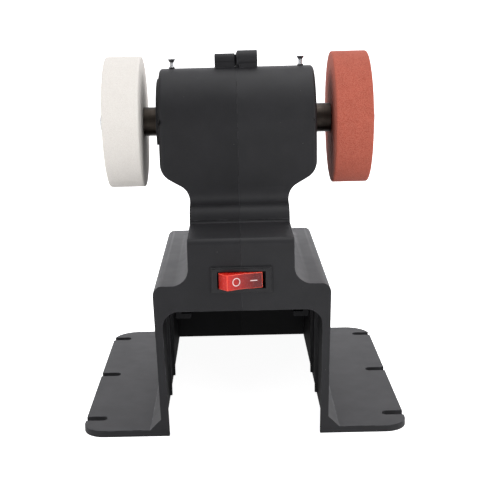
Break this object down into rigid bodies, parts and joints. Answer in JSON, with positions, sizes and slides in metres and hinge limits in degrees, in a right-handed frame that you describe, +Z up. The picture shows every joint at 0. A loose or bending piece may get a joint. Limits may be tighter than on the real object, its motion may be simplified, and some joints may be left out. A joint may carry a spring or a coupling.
{
  "type": "bench grinder",
  "caption": "Cordless mini bench grinder: a flanged stand with a battery bay carries a double-ended motor housing with a white and a red wheel, and a rocker switch.",
  "frame": {"origin": "centre of the footprint on the bench, under the middle of the base", "axes": "+X along the spindle towards the red wheel, -Y towards the switch and the battery bay's mouth, +Z up"},
  "size_m": [0.174, 0.1836, 0.1978],
  "materials": {
    "housing_plastic": "fine satin moulded grain, dark grey",
    "slide_plastic": "satin black",
    "switch_plastic": "satin black",
    "rocker_red": "glossy translucent red with white marks",
    "white_wheel": "dense matt white",
    "red_wheel": "matt brick red with a fine grain",
    "coupler_steel": "dark oiled steel",
    "shaft_steel": "ground steel",
    "core_steel": "stacked sheet steel",
    "can_steel": "zinc plated",
    "cap_steel": "black",
    "bearing_steel": "polished steel",
    "bright_screw": "zinc plated steel",
    "dark_screw": "black oxide steel",
    "contact_brass": "plain brass",
    "copper": "enamelled copper",
    "magnet": "dark ceramic",
    "carbon": "carbon"
  },
  "bodies": {
    "stand": {"left_housing_shell": "housing_plastic", "right_housing_shell": "housing_plastic", "housing_screws": "dark_screw", "top_screws": "bright_screw", "motor_can": "can_steel", "field_magnets": "magnet", "left_end_cap": "cap_steel", "right_end_cap": "cap_steel", "left_bearing": "bearing_steel", "right_bearing": "bearing_steel", "brush_holders": "contact_brass", "carbon_brushes": "carbon", "motor_tabs": "contact_brass", "switch_frame": "switch_plastic", "switch_tabs": "contact_brass", "battery_slide": "slide_plastic", "contact_block": "slide_plastic", "battery_contacts": "contact_brass"},
    "spindle": {"spindle_shaft": "shaft_steel", "armature_core": "core_steel", "armature_winding": "copper", "commutator": "copper", "left_coupler": "coupler_steel", "right_coupler": "coupler_steel", "coupler_grub_screws": "dark_screw", "white_wheel": "white_wheel", "red_wheel": "red_wheel", "left_clamp_washer": "bright_screw", "right_clamp_washer": "bright_screw", "clamp_screws": "bright_screw"},
    "rocker": {"switch_rocker": "rocker_red"}
  },
  "joints": [
    {"name": "spindle_spin", "type": "hinge", "parent": "stand", "child": "spindle", "pos_m": [0, 0.00434, 0.1585], "axis": [1, 0, 0], "continuous": true},
    {"name": "rocker_press", "type": "hinge", "parent": "stand", "child": "rocker", "pos_m": [0, -0.08366, 0.0856], "axis": [0, 0, -1], "range_deg": [0, 36]}
  ]
}
